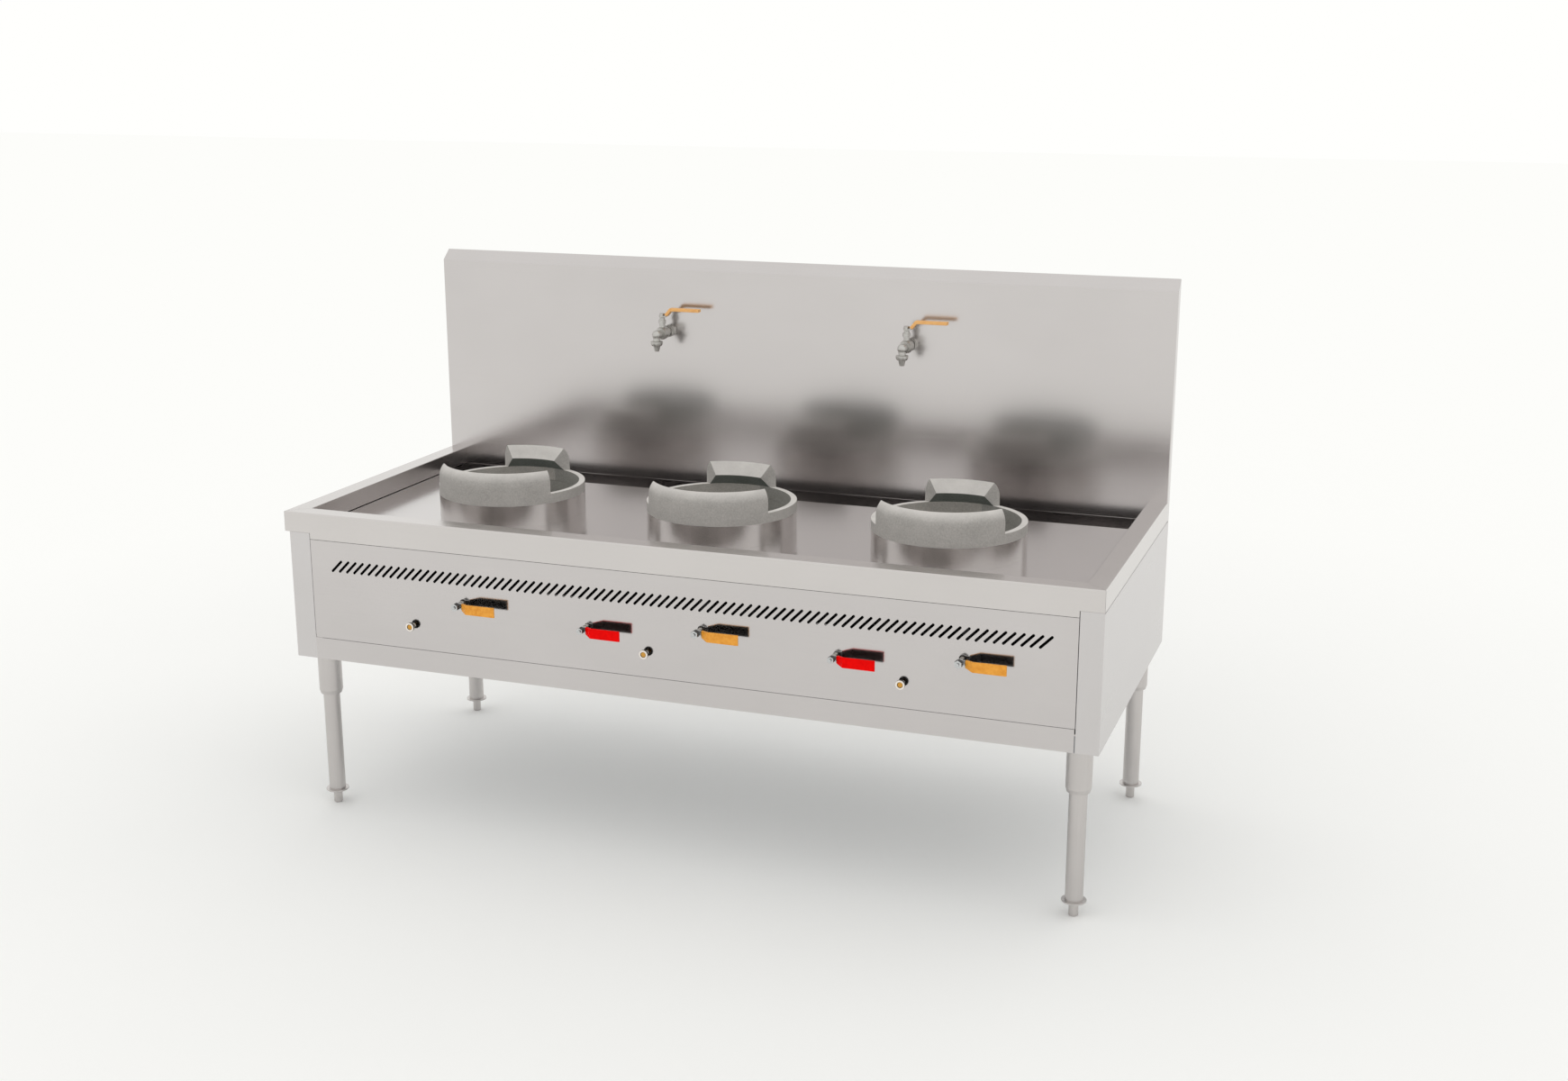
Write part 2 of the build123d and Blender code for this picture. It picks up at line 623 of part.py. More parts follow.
def make_pilots():
    bodies = []
    tubes = []
    for number, valve_x in enumerate(gas_valve_x, 1):
        x = valve_x + pilot_offset
        body = rod((x, front + sheet, pilot_z), (x, pilot_end, pilot_z), pilot_body)
        body += rod((x, front - 3, pilot_z), (x, front + sheet, pilot_z), pilot_bush)
        body += hexagon((x, front + 30, pilot_z), (x, front + 42, pilot_z), 22)
        body -= rod((x, front - 4, pilot_z), (x, front + 26, pilot_z), knob_stem + 0.05)
        bodies.append(body)

        face = front - knob_front
        back = face + knob_thick
        ring = rod((x, face, pilot_z), (x, back, pilot_z), knob_radius)
        ring = fillet(ring.edges().sort_by(Axis.Y)[0], 1.5)
        ring -= rod((x, face - 1, pilot_z), (x, back + 1, pilot_z), knob_core)
        save(f"pilot_knob_{number}", ring)
        core = rod((x, face + 1.5, pilot_z), (x, back, pilot_z), knob_core - 0.01)
        core = chamfer(core.edges().sort_by(Axis.Y)[0], 1.0)
        core += rod((x, back, pilot_z), (x, front + 16, pilot_z), knob_stem)
        save(f"pilot_core_{number}", core)

        route = [(x, pilot_end, pilot_z), (x, pilot_tip, pilot_z), (x, pilot_tip, pilot_tip_z)]
        tube = pipe(route, pilot_tube, 1.0, 20)
        tip_top = pilot_tip_z + 10
        tube += turned([(2.2, pilot_tip_z), (6, pilot_tip_z), (6, tip_top), (2.2, tip_top)], x, pilot_tip)
        tubes.append(tube)
    save("pilot_valves", *bodies)
    save("pilot_burners", *tubes)


# ---- water: main, risers and taps -------------------------------------------------------------------
water_radius = 10.65
water_wall = 2.6
water_thread = 10.4
water_bend = 24.0
riser_y = splash_front + 14.5
riser_z = 640.0
elbow = 13.0                # radius and half height of the elbow behind each tap
tap_stem = 45.0             # from the splashback's face to the tap's stem
tap_spout = 85.0            # and to its spout
tap_bore = 4.0
tap_stem_radius = 4.0


def make_water():
    x, z = water_inlet
    bottom = water_valve_z - valve_half * 0.8
    bore = water_radius - water_wall
    first, second = water_valve_x
    main = pipe([(first, valve_y, bottom), (first, valve_y, z), (x, valve_y, z), (x, rear, z)],
                water_radius, water_wall, water_bend)
    main += rod((second, valve_y, z + 5), (second, valve_y, bottom), water_radius)
    main -= rod((second, valve_y, z), (second, valve_y, bottom + 1), bore)
    thread_start = rear + 6
    thread_end = rear + inlet_reach
    end = hexagon((x, rear, z), (x, thread_start, z), 30)
    end += rod((x, thread_start, z), (x, thread_end, z), water_thread)
    end -= rod((x, rear - 1, z), (x, thread_end + 1, z), bore)

    risers = []
    for valve_x, x in zip(water_valve_x, tap_x):
        top = water_valve_z + valve_half * 0.8
        route = [(valve_x, valve_y, top), (valve_x, valve_y, riser_z), (x, valve_y, riser_z),
                 (x, riser_y, riser_z), (x, riser_y, tap_z - elbow)]
        riser = pipe(route, water_radius, water_wall, water_bend)
        riser += rod((x, riser_y, tap_z - elbow), (x, riser_y, tap_z + elbow), elbow)
        riser -= rod((x, riser_y, tap_z - elbow - 1), (x, riser_y, tap_z), bore)
        riser -= rod((x, splash_front, tap_z), (x, riser_y, tap_z), bore)
        riser -= block(x - 2 * elbow, x + 2 * elbow, splash_front - 20, splash_front + 6,
                       tap_z - 2 * elbow, tap_z + 2 * elbow)
        risers.append(riser)
    save("water_pipes", main + end, *risers)


def make_taps():
    bodies = []
    for number, x in enumerate(tap_x, 1):
        def along(out):
            """Point on the tap's level axis, this far out from the splashback."""
            return (x, splash_front - out, tap_z)

        def above(up):
            """Point on the stem's axis, this far above the tap's axis."""
            return (x, splash_front - tap_stem, tap_z + up)

        body = rod(along(-6), along(5), tap_hole - 0.3)
        for start, end, radius in ((0, 4, 17), (16, 24, 12), (24, 62, 15), (60, tap_spout, 10)):
            body += rod(along(start), along(end), radius)
        body += hexagon(along(4), along(16), 30)
        body += Pos(*along(tap_stem)) * Sphere(18)
        body += Pos(*along(tap_spout)) * Sphere(12.5)
        nozzle = [(tap_bore, -45), (6.3, -45), (9.5, -31), (14, -29), (16.5, -24), (16.5, -18), (9.5, -16),
                  (9.5, 0), (tap_bore, 0)]
        body += Pos(*along(tap_spout)) * turned(nozzle)
        body += rod(above(0), above(42), 7.5)
        body += hexagon(above(26), above(36), 19)
        body -= Pos(*along(tap_spout)) * rod((0, 0, -46), (0, 0, 0), tap_bore)
        body -= rod(along(-7), along(tap_spout), tap_bore)
        body -= rod(above(24), above(43), tap_stem_radius + 0.05)
        bodies.append(body)

        flat = 46                   # middle of the strap under its nut, above the tap's axis
        low = flat - strap / 2
        high = flat + strap / 2
        place = Pos(*above(0))
        outline = strip_outline([(0, flat), (10, flat), (27, 66), (109, 66)], strap)
        bar = extrude(Plane.XZ * make_face(Polyline(*outline, close=True)), amount=8, both=True)
        bar += rod((0, 0, low), (0, 0, high), 9)
        bar += rod((0, 0, 24.3), (0, 0, high), tap_stem_radius)
        bar += hexagon((0, 0, high - 0.5), (0, 0, high + 6.5), 14)
        save(f"tap_lever_{number}", place * bar)
        cover = strip_outline([(13.1, 49.65), (27, 66), (111, 66)], 8)
        sleeve = extrude(Plane.XZ * make_face(Polyline(*cover, close=True)), amount=9.5, both=True)
        sleeve -= bar
        save(f"tap_grip_{number}", place * sleeve)
    save("tap_bodies", *bodies)


# ---- legs: sleeve under the body, tube, and a foot that screws out ---------------------------------------
def make_legs():
    sleeves = []
    tubes = []
    names = {(0, 0): "foot_front_left", (1, 0): "foot_front_right",
             (0, 1): "foot_rear_left", (1, 1): "foot_rear_right"}
    for (side, row), name in names.items():
        x = leg_x[side]
        y = front + leg_back[row]
        bore = sleeve_radius - leg_wall
        neck = leg_radius + 0.05
        shoulder = sleeve_bottom + 18
        outline = [(neck, sleeve_bottom), (sleeve_radius - 3, sleeve_bottom), (sleeve_radius, sleeve_bottom + 10),
                   (sleeve_radius, frame_top), (bore, frame_top), (bore, shoulder), (neck, shoulder)]
        sleeve = turned(outline, x, y)
        outer_x = inside_left if side == 0 else inside_right
        outer_y = front + sheet if row == 0 else rear - sheet
        xs = sorted((outer_x, x - copysign(plate_reach, x)))
        ys = sorted((outer_y, y - copysign(plate_reach, y)))
        sleeves.append(sleeve + block(*xs, *ys, frame_top, frame_top + leg_plate))

        bore = leg_radius - leg_wall
        plug = foot_top + 25        # the closed end that the foot screws into
        stud = foot_thread + 0.05
        tube = [(stud, foot_top), (leg_radius, foot_top), (leg_radius, frame_top), (bore, frame_top),
                (bore, plug), (stud, plug)]
        tubes.append(turned(tube, x, y))
        under = foot_top - 4
        stud_top = foot_top + 80
        foot = [(0, 0), (foot_stud - 1.5, 0), (foot_stud, 1.5), (foot_stud, under), (foot_radius - 1, under),
                (foot_radius, under + 1), (foot_radius, foot_top), (foot_thread, foot_top),
                (foot_thread, stud_top), (0, stud_top)]
        save(name, turned(foot, x, y))
    save("leg_sleeves", *sleeves)
    save("leg_tubes", *tubes)


# ---- screws that hold the rear panel and the splashback's cover ---------------------------------------------
screw_rows = (body_bottom + 20, skirt_bottom - 14, 1000.0, splash_top_rear - 22)
screw_x = (-1000.0, -500.0, 0.0, 500.0, 1000.0)


def make_screws():
    screws = []
    for z in screw_rows:
        for x in screw_x:
            head = turned([(0, 0), (5, 0), (4.2, 1.8), (2.5, 2.6), (0, 2.8)])
            screws.append(Pos(x, rear, z) * Rot(-90, 0, 0) * head)
    save("rear_screws", *screws)


os.makedirs("parts", exist_ok=True)
make_rim()
make_deck()
make_trough()
make_splashback()
make_body()
make_front_panel()
make_frame()
make_burners()
make_gas_supply()
make_valves()
make_levers()
make_pilots()
make_water()
make_taps()
make_legs()
make_screws()
print(len(parts), "nodes,", sum(len(solids) for solids in parts.values()), "solids")
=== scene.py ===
# %% [markdown]
# # A gas wok range in brushed steel
# The range is already built, piece by piece and at its real size, as a fixed frame: sheets, pipes,
# castings, levers and legs, each with its own name. This lesson gives every piece its finish, rounds
# the edges that a caster, a dipper or a turner would leave round, and sets the whole on a pale floor
# in soft light. Everything is in metres, in the frame's own place.

# %% Load the frame
import math

import bmesh
import bpy
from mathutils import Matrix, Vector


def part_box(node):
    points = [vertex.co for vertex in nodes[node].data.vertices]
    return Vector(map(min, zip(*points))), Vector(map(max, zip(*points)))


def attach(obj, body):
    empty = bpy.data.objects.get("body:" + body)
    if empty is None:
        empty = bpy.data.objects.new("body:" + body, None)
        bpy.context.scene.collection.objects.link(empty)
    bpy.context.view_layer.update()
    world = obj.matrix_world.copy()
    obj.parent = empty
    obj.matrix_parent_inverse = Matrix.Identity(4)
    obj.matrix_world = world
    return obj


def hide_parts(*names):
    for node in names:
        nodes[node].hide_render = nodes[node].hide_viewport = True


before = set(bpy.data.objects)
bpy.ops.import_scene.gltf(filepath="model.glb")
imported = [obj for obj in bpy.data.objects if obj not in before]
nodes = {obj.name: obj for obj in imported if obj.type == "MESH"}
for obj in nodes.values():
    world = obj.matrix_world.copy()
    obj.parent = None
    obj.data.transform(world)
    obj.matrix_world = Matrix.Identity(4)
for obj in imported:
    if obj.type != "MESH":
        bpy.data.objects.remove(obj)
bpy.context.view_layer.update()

# %% [markdown]
# Paint charts and photographs give colours as sRGB hex, but a shader adds up light, so it wants
# linear values. One function does the step, and every colour in this file goes through it.

# %% Colours and lengths
MM = 0.001


def linear(hex_colour):
    """The linear red, green, blue and alpha of an sRGB hex colour."""
    channels = [int(hex_colour[start:start + 2], 16) / 255 for start in (1, 3, 5)]
    bent = [c / 12.92 if c <= 0.04045 else ((c + 0.055) / 1.055) ** 2.4 for c in channels]
    return (*bent, 1.0)


print("mid grey is", [round(c, 3) for c in linear("#808080")])

# %% [markdown]
# A material is a small tree of nodes. Writing each node out takes four lines, so one helper adds a
# node, sets its options and fills its inputs, either with a value or with a wire from another node.
# Two more start a material and, once its colour, gloss and relief are worked out, wire them up.

# %% A helper that adds a node
def add(tree, kind, options=None, inputs=None):
    """Add one shader node; an input is a plain value or another node's output."""
    node = tree.nodes.new("ShaderNode" + kind)
    for name, value in (options or {}).items():
        setattr(node, name, value)
    for name, value in (inputs or {}).items():
        if isinstance(value, bpy.types.NodeSocket):
            tree.links.new(value, node.inputs[name])
        else:
            node.inputs[name].default_value = value
    return node


def material_with(name, settings):
    """A new material and its main shader, with the settings that are the same all over it."""
    material = bpy.data.materials.new(name)
    material.use_nodes = True
    shader = material.node_tree.nodes["Principled BSDF"]
    for key, value in settings.items():
        shader.inputs[key].default_value = value
    return material, material.node_tree, shader


def wire_up(tree, shader, colour, roughness, height, dent_mm, strength):
    """Give the shader its colour and roughness, and a relief that is dent_mm deep."""
    relief = add(tree, "Bump", inputs={
        "Strength": strength, "Distance": dent_mm * MM, "Height": height})
    tree.links.new(colour, shader.inputs["Base Color"])
    tree.links.new(roughness, shader.inputs["Roughness"])
    tree.links.new(relief.outputs["Normal"], shader.inputs["Normal"])


# %% [markdown]
# Every pattern below is a noise whose grain has a real size. Noise has about one feature per unit
# of its vector, so dividing a place in metres by the grain's size in metres gives that size. Three
# sizes, one for each axis, stretch the grain: long along the brushing, short across it.

# %% A noise of a real size
NOISE_LOW, NOISE_HIGH = 0.3, 0.7        # a noise stays mostly between these


def grain(tree, sizes_mm, detail=3.0, spread=0.55):
    """A noise on the piece's own coordinates, with a feature size in millimetres for each axis."""
    place = add(tree, "TexCoord")
    scaled = add(tree, "Mapping", inputs={
        "Vector": place.outputs["Object"],
        "Scale": tuple(1 / (size * MM) for size in sizes_mm)})
    noise = add(tree, "TexNoise", inputs={
        "Vector": scaled.outputs["Vector"], "Scale": 1.0, "Detail": detail, "Roughness": spread})
    return noise.outputs["Fac"]


def blend(tree, first, share, second):
    """Add two noises up: the first by its share, the second by the rest."""
    rest = add(tree, "Math", {"operation": "MULTIPLY"}, {0: second, 1: 1 - share})
    both = add(tree, "Math", {"operation": "MULTIPLY_ADD"}, {0: first, 1: share, 2: rest.outputs[0]})
    return both.outputs[0]


def between(tree, noise, low, high):
    """Turn a noise into a value between low and high."""
    spread_out = add(tree, "MapRange", inputs={
        "Value": noise, "From Min": NOISE_LOW, "From Max": NOISE_HIGH,
        "To Min": low, "To Max": high})
    return spread_out.outputs["Result"]


def tint(tree, noise, colour_low, colour_high):
    """Mix two colours by a noise."""
    ramp = add(tree, "ValToRGB", inputs={"Fac": noise})
    ends = zip(ramp.color_ramp.elements, (NOISE_LOW, NOISE_HIGH), (colour_low, colour_high))
    for end, position, colour in ends:
        end.position = position
        end.color = linear(colour)
    return ramp.outputs["Color"]


# %% [markdown]
# **Brushed stainless steel.** Kitchen sheet is 304 stainless with a fine linear polish: belts leave
# scratches about a tenth of a millimetre wide and a hand long. That is too fine to show from across
# a room, so the grain here is drawn about a millimetre wide. It barely dents the surface, but it
# makes the gloss uneven, and wiping leaves broad, faint smudges on top of that.

# %% Brushed steel
ACROSS, ALONG = 1.1, 160.0      # width and length of a drawn scratch, in mm
SMUDGE = (260, 260, 180)        # size of a wiped smudge, in mm
SCRATCH_SHARE = 0.45            # scratches do this much of the unevenness, smudges the rest
STEEL_GLOSS = (0.85, 1.15)      # the roughness wanders between these times its mean
along_x = (ALONG, ACROSS, ACROSS)
along_y = (ACROSS, ALONG, ACROSS)
along_z = (ACROSS, ACROSS, ALONG)
mill_scale = (6, 6, 60)         # the short streaks that a tube mill leaves, in mm


def brushed_steel(name, light, dark, roughness, sizes_mm, dent_mm=0.004):
    """Steel polished along one way; sizes_mm gives the grain's length along each axis."""
    material, tree, shader = material_with(name, {"Metallic": 1.0})
    scratches = grain(tree, sizes_mm, detail=4.0)
    smudges = grain(tree, SMUDGE, detail=2.0)
    uneven = blend(tree, scratches, SCRATCH_SHARE, smudges)
    bright, dull = (roughness * times for times in STEEL_GLOSS)
    wire_up(tree, shader, tint(tree, uneven, dark, light), between(tree, uneven, bright, dull),
            scratches, dent_mm, strength=1.0)
    return material


# %% [markdown]
# One mill's sheet differs mostly in its polish: the front is nearly a mirror, the deck and the
# splashback are softer, the sides and the back are satin. Pans and cloths rub the rim a little
# brighter. The underside keeps the cool skin of the mill, and the frame inside is plain mild steel.

# %% The sheets, tubes and frame
LIGHT, DARK = "#cfcbca", "#c9c5c4"
WORN_LIGHT, WORN_DARK = "#d3cfcd", "#cdc9c7"
recipes = {
    "front": ("stainless_front_polished", "#cdc9c8", "#c7c3c2", 0.13, along_x, 0.001),
    "rim": ("stainless_rim_polished", WORN_LIGHT, WORN_DARK, 0.24, along_x, 0.002),
    "rim_side": ("stainless_side_rim_polished", WORN_LIGHT, WORN_DARK, 0.24, along_y, 0.002),
    "deck": ("stainless_deck_polished", LIGHT, DARK, 0.16, along_x, 0.002),
    "splash": ("stainless_splash_satin", LIGHT, DARK, 0.20, along_x, 0.002),
    "side": ("stainless_side_satin", "#d1cece", "#cbc8c7", 0.30, along_y),
    "back": ("stainless_back_satin", "#d4d2d0", "#cbc9c7", 0.40, along_x),
    "under": ("stainless_underside_mill", "#d3d4d6", "#cacbcd", 0.40, along_x),
    "chamber": ("stainless_chamber_rolled", "#d3cfcd", "#cdc9c7", 0.22, along_z, 0.0006),
    "tube": ("stainless_tube_satin", "#ccc8c6", "#c3bfbd", 0.32, along_z),
    "frame": ("mild_steel_tube", "#96989b", "#808285", 0.5, mill_scale),
}
steel = {key: brushed_steel(*recipe) for key, recipe in recipes.items()}
print(len(steel), "kinds of steel")

# %% [markdown]
# ** Sand-cast iron.** The wok rings are poured into sand, which leaves a skin of grains. The real
# ones are one to two millimetres across, drawn here at four so that they still show from across a
# room. Outside, the casting keeps a pale grey, with a paler painted top light on the faces that look
# up; inside, where the flame licks it, it goes dark green-grey, and its wall is painted paler on the
# left as painted light and darker at its right end as painted shade. **Fire clay** lines the
# chambers: coarser and duller still.

# %% A rough skin of grains
PATCH = (45, 45, 30)            # size of a paler or darker patch, in mm
GRIT_SHARE = 0.7                # grains do this much of the mottling, patches the rest
UNEVEN_DULLNESS = 0.08          # the roughness wanders this far to both sides
TOP_LIGHT_STARTS, TOP_LIGHT_FULL = 0.2, 0.75      # how much a face looks up: 0 is a wall, 1 is level
WEAK_TOP_LIGHT, FULL_TOP_LIGHT = 0.7, 1.0        # how strongly the painted top light covers


def looking_up(tree):
    """How much painted top light a face gets, by how much the face looks up."""
    facing = add(tree, "NewGeometry")
    parts = add(tree, "SeparateXYZ", inputs={"Vector": facing.outputs["Normal"]})
    kept = add(tree, "MapRange", inputs={
        "Value": parts.outputs["Z"], "From Min": TOP_LIGHT_STARTS, "From Max": TOP_LIGHT_FULL})
    return kept.outputs["Result"]


def rough_cast(name, light, dark, roughness, grit_mm, dent_mm, top_light=None):
    """A surface of grains: grit_mm across, standing dent_mm proud, with painted top light on what
    looks up.
    """
    material, tree, shader = material_with(name, {"Specular IOR Level": 0.3})
    grit = grain(tree, (grit_mm, grit_mm, grit_mm), detail=5.0, spread=0.65)
    patches = grain(tree, PATCH, detail=3.0)
    colour = tint(tree, blend(tree, grit, GRIT_SHARE, patches), dark, light)
    # Painted light: faces that look up are mixed, in patches, towards a paler colour.
    if top_light:
        cover = between(tree, patches, WEAK_TOP_LIGHT, FULL_TOP_LIGHT)
        top_light_share = add(tree, "Math", {"operation": "MULTIPLY"}, {0: looking_up(tree), 1: cover})
        top_lit = add(tree, "Mix", {"data_type": "RGBA"}, {
            0: top_light_share.outputs[0], 6: colour, 7: linear(top_light)})
        colour = top_lit.outputs[2]
    dullness = between(tree, patches, roughness - UNEVEN_DULLNESS, roughness + UNEVEN_DULLNESS)
    wire_up(tree, shader, colour, dullness, grit, dent_mm, strength=0.8)
    return material


# The paler colour given to the outside is painted top light on the faces that look up.
cast_outside = rough_cast("cast_iron_pale_skin", "#b9b5b1", "#989591", 0.62,
                          grit_mm=4.0, dent_mm=0.5, top_light="#dbd7d3")
cast_inside = rough_cast("cast_iron_fired", "#868a85", "#666a66", 0.7, grit_mm=4.0, dent_mm=0.6)
# These two irons paint light and shade on the rings' inner wall: the paler one on its left, the
# darker one at its right end.
wall_light_iron = rough_cast("cast_iron_wall_painted_light", "#bcb7b1", "#98948e", 0.7,
                         grit_mm=4.0, dent_mm=0.6)
wall_shade_iron = rough_cast("cast_iron_wall_painted_shade", "#a3a19c", "#83817c", 0.7, grit_mm=4.0, dent_mm=0.6)
burner_iron = rough_cast("cast_iron_burner", "#5a5956", "#3f3e3c", 0.6, grit_mm=3.0, dent_mm=0.3)
fire_clay = rough_cast("fire_clay", "#9b9993", "#83817c", 0.85, grit_mm=4.5, dent_mm=0.8)
print("rough skins: pale, fired, burnt clean and sooted iron, burner iron, fire clay")

# %% [markdown]
# ** Dipped vinyl** grips are made by dipping the hot strap in plastisol. The skin is slightly soft,
# with an orange-peel surface a couple of millimetres across, and hands rub it unevenly, so the
# colour is mottled. The side that lies against the panel is painted near black, as painted shade.
# The same helper does the moulded pilot knobs, whose skin is smoother and glossier, and the black
# of their sides and backs, which is painted shade too.

# %% Vinyl grips and moulded knobs
RUBBED = (9, 9, 9)              # size of a rubbed spot, in mm
GLOSSIER, DULLER = 0.05, 0.07   # the roughness goes this far down and up
VINYL_PEEL, KNOB_PEEL = 2.4, 1.6        # size of the orange peel, in mm


def moulded(name, light, dark, roughness, peel_mm, dent_mm, gloss=0.4):
    """A plastic skin with a fine orange peel and mottled colour."""
    material, tree, shader = material_with(name, {"Specular IOR Level": gloss})
    peel = grain(tree, (peel_mm, peel_mm, peel_mm), detail=2.0)
    wear = grain(tree, RUBBED, detail=4.0, spread=0.6)
    wire_up(tree, shader, tint(tree, wear, dark, light),
            between(tree, wear, roughness - GLOSSIER, roughness + DULLER),
            peel, dent_mm, strength=0.6)
    return material


orange_vinyl = moulded("dipped_vinyl_orange", "#f0a840", "#da8d26", 0.42, VINYL_PEEL, 0.08, 0.3)
amber_vinyl = moulded("dipped_vinyl_amber", "#f9c27c", "#e8a860", 0.42, VINYL_PEEL, 0.08)
red_vinyl = moulded("dipped_vinyl_red", "#f60402", "#e00000", 0.45, VINYL_PEEL, 0.06, 0.05)
# Painted shade: the grips' backs, near black behind the orange grips and dark red behind the red
# ones.
vinyl_back_painted_shade = moulded("dipped_vinyl_back_painted_shade", "#1c1815", "#0c0a09", 0.55, VINYL_PEEL, 0.08)
red_vinyl_back_painted_shade = moulded("dipped_vinyl_red_back_painted_shade", "#2c0605", "#160302", 0.55, VINYL_PEEL, 0.08)
white_knob = moulded("moulded_knob_white", "#f3ece4", "#e6ded5", 0.28, KNOB_PEEL, 0.02)
# Painted shade: the knobs' sides and backs and the cores' backs are black.
knob_back_painted_shade = moulded("moulded_knob_back_painted_shade", "#1d1b1a", "#100f0e", 0.4, KNOB_PEEL, 0.02)
print("plastics: orange, amber and red vinyl with their greasy backs, white and black knobs")

# %% [markdown]
# **Plated and turned metals.** Zinc on the levers is cloudy and cool, nickel on the valves a little
# warmer, and the taps are chromed brass that has dulled with steam. Their gloss is broken by fine
# handling marks. Brass is warm and keeps its turning marks. The black gas pipe is dull paint.

# %% Small metal parts
MARK_HEIGHT = 0.4               # a handling mark's height, as a part of its width
METAL_GLOSS = (0.75, 1.3)       # the roughness wanders between these times its mean


def handled_metal(name, light, dark, roughness, mark_mm, dent_mm=0.01):
    """Plated or turned metal with handling marks of a given size."""
    material, tree, shader = material_with(name, {"Metallic": 1.0})
    marks = grain(tree, (mark_mm, mark_mm, mark_mm * MARK_HEIGHT), detail=4.0, spread=0.6)
    bright, dull = (roughness * times for times in METAL_GLOSS)
    wire_up(tree, shader, tint(tree, marks, dark, light), between(tree, marks, bright, dull),
            marks, dent_mm, strength=0.5)
    return material


zinc = handled_metal("zinc_plated_steel", "#d3d4d4", "#b5b7b8", 0.26, mark_mm=5)
# Painted shade: a darker zinc for the straps' backs and the flanks of their nuts.
zinc_painted_shade = handled_metal("zinc_plated_steel_painted_shade", "#6d6b6a", "#4b4948", 0.45, mark_mm=5)
nickel = handled_metal("nickel_plated_brass", "#d6d3cc", "#c2beb6", 0.30, mark_mm=6)
dull_chrome = handled_metal("chromed_brass_dulled", "#cccac6", "#b5b3af", 0.36, mark_mm=7)
brass = handled_metal("turned_brass", "#d9a656", "#c08a3c", 0.32, mark_mm=3)
pipe_paint = rough_cast("gas_pipe_black_paint", "#4a4a4b", "#37373a", 0.5, grit_mm=3.0, dent_mm=0.05)
print("small metals: zinc, tarnished zinc, nickel, dulled chrome, brass, and a black paint")

# %% [markdown]
# Each piece of the frame keeps its exact shape and only swaps its material. The list below goes
# through the range as it would be taken apart: sheets, chambers, frame, pipes, fittings, legs.

# %% Give the frame's pieces their finish
finishes = {
    "rim_front": steel["rim"], "rim_left": steel["rim_side"], "rim_right": steel["rim_side"],
    "deck_plate": steel["deck"], "rear_trough": steel["deck"],
    "front_panel": steel["front"], "bottom_rail": steel["front"], "bottom_panel": steel["under"],
    "side_panel_left": steel["side"], "side_panel_right": steel["side"],
    "splashback_front": steel["splash"], "splashback_cover": steel["back"],
    "back_panel": steel["back"],
    "burner_chamber_1": steel["chamber"], "burner_chamber_2": steel["chamber"],
    "burner_chamber_3": steel["chamber"], "chamber_linings": fire_clay,
    "base_frame": steel["frame"], "deck_frame": steel["frame"], "splash_posts": steel["frame"],
    "burner_heads": burner_iron, "burner_jets": brass,
    "gas_manifold": pipe_paint, "burner_pipes": pipe_paint,
    "ball_valves": nickel, "pilot_valves": nickel, "pilot_burners": nickel,
    "water_pipes": steel["tube"], "drain_outlet": steel["tube"],
    "leg_sleeves": steel["tube"], "leg_tubes": steel["tube"], "rear_screws": zinc,
}
for name, material in finishes.items():
    nodes[name].data.materials.clear()
    nodes[name].data.materials.append(material)
print(len(finishes), "pieces keep their shape and get a finish")

# %% [markdown]
# The frame's corners are as sharp as a drawing's. A casting, a dipped grip or a turned nut is never
# that sharp, and the thin bright line along a rounded edge is what tells the eye how big a thing is.
# A copy of the piece has its loose triangles merged into clean faces, then its sharp edges bevelled.
# Weighted normals keep the flat faces flat beside the new round ones.

# %% A copy with rounded edges
MERGE_WITHIN = 0.002 * MM
FLAT_WITHIN = math.radians(0.4)     # faces closer in angle than this become one
EDGE_OVER = math.radians(30)        # edges sharper than this are rounded
CREASE_OVER = math.radians(38)      # edges still sharper than this are shaded sharp


def rounded(node, piece_name, body, materials, radius_mm, segments=3):
    """Stand a copy of a frame piece in its place, with its sharp edges rounded."""
    form = bmesh.new()
    form.from_mesh(nodes[node].data)
    bmesh.ops.remove_doubles(form, verts=form.verts, dist=MERGE_WITHIN)
    bmesh.ops.dissolve_limit(form, angle_limit=FLAT_WITHIN, verts=form.verts, edges=form.edges)
    corners = [edge for edge in form.edges
               if edge.is_manifold and edge.calc_face_angle(0) > EDGE_OVER]
    bmesh.ops.bevel(form, geom=corners, offset=radius_mm * MM, offset_type="OFFSET", affect="EDGES",
                    segments=segments, profile=0.5, material=-1, clamp_overlap=True)
    for face in form.faces:
        face.smooth = True
        face.material_index = 0
    mesh = bpy.data.meshes.new(piece_name)
    form.to_mesh(mesh)
    form.free()
    for material in materials:
        mesh.materials.append(material)
    mesh.set_sharp_from_angle(angle=CREASE_OVER)
    piece = bpy.data.objects.new(piece_name, mesh)
    bpy.context.scene.collection.objects.link(piece)
    weighted = piece.modifiers.new("weighted", "WEIGHTED_NORMAL")
    weighted.keep_sharp = True
    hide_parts(node)
    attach(piece, body)
    return piece


# %% [markdown]
# Many of these pieces carry more than one finish: a casting is pale outside and burnt inside, a
# grip is bright in front and painted near black behind, as painted shade. The other finish goes on
# the faces that a small test picks out by where they lie and which way they look.

# %% Another finish on some faces
BACKWARD = 0.5          # a normal's part towards the back, from which a face looks back
SIDEWAYS = -0.35        # and from which it no longer looks to the front


def finish_some(piece, index, picks):
    """Give the material of this index to the faces that the test picks."""
    picked = [face for face in piece.data.polygons if picks(face.center, face.normal)]
    for face in picked:
        face.material_index = index
    print(piece.name, "has", len(piece.data.polygons), "faces,",
          len(picked), "in", piece.data.materials[index].name)


def looks_back(centre, normal):
    return normal.y > BACKWARD


def not_in_front(centre, normal):
    return normal.y > SIDEWAYS
